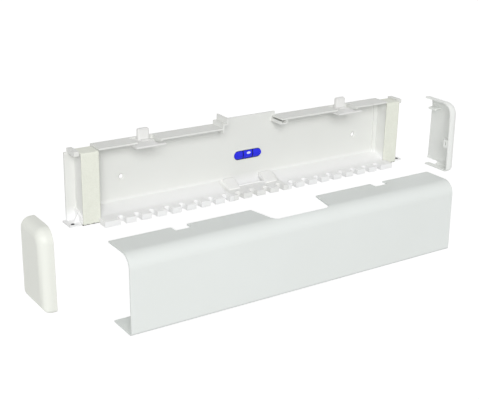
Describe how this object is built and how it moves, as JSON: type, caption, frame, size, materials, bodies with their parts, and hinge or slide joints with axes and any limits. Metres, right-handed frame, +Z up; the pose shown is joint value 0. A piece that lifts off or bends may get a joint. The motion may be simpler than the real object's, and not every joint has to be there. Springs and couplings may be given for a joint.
{
  "type": "cable raceway segment",
  "caption": "White wall-mounted cable raceway box drawn apart: a long back tray with a cable comb, two cream hook-and-loop straps, a spirit level and sliding latches, a front cover and two end caps.",
  "frame": {"origin": "on the wall plane, midway between the two screw holes", "axes": "+X along the box, -Y towards the room, +Z up"},
  "size_m": [0.5576, 0.1276, 0.1741],
  "materials": {
    "tray_plastic": "satin",
    "insert_plastic": "satin",
    "cover_plastic": "satin",
    "cap_plastic": "satin",
    "strap_cloth": "matte",
    "vial_blue": "gloss",
    "bubble": "gloss",
    "mark_black": "satin"
  },
  "bodies": {
    "tray": {"back_tray": "tray_plastic", "comb_insert": "insert_plastic", "strap_left": "strap_cloth", "strap_right": "strap_cloth", "vial_body": "vial_blue", "vial_bubble": "bubble", "vial_marks": "mark_black"},
    "latch_left": {"latch_left": "tray_plastic"},
    "latch_right": {"latch_right": "tray_plastic"},
    "cover": {"front_cover": "cover_plastic"},
    "left_cap": {"left_end_cap": "cap_plastic"},
    "right_cap": {"right_end_cap": "cap_plastic"}
  },
  "joints": [
    {"name": "latch_left_slide", "type": "slide", "parent": "tray", "child": "latch_left", "axis": [1, 0, 0], "range_m": [0, 0.004]},
    {"name": "latch_right_slide", "type": "slide", "parent": "tray", "child": "latch_right", "axis": [1, 0, 0], "range_m": [0, 0.004]},
    {"name": "cover_lift", "type": "slide", "parent": "tray", "child": "cover", "axis": [0, 0, 1], "range_m": [0, 0.079]},
    {"name": "left_cap_lift", "type": "slide", "parent": "tray", "child": "left_cap", "axis": [0, 0, 1], "range_m": [0, 0.048]},
    {"name": "right_cap_slide", "type": "slide", "parent": "tray", "child": "right_cap", "axis": [-0.7282, 0.6854, 0], "range_m": [0, 0.04669]}
  ]
}
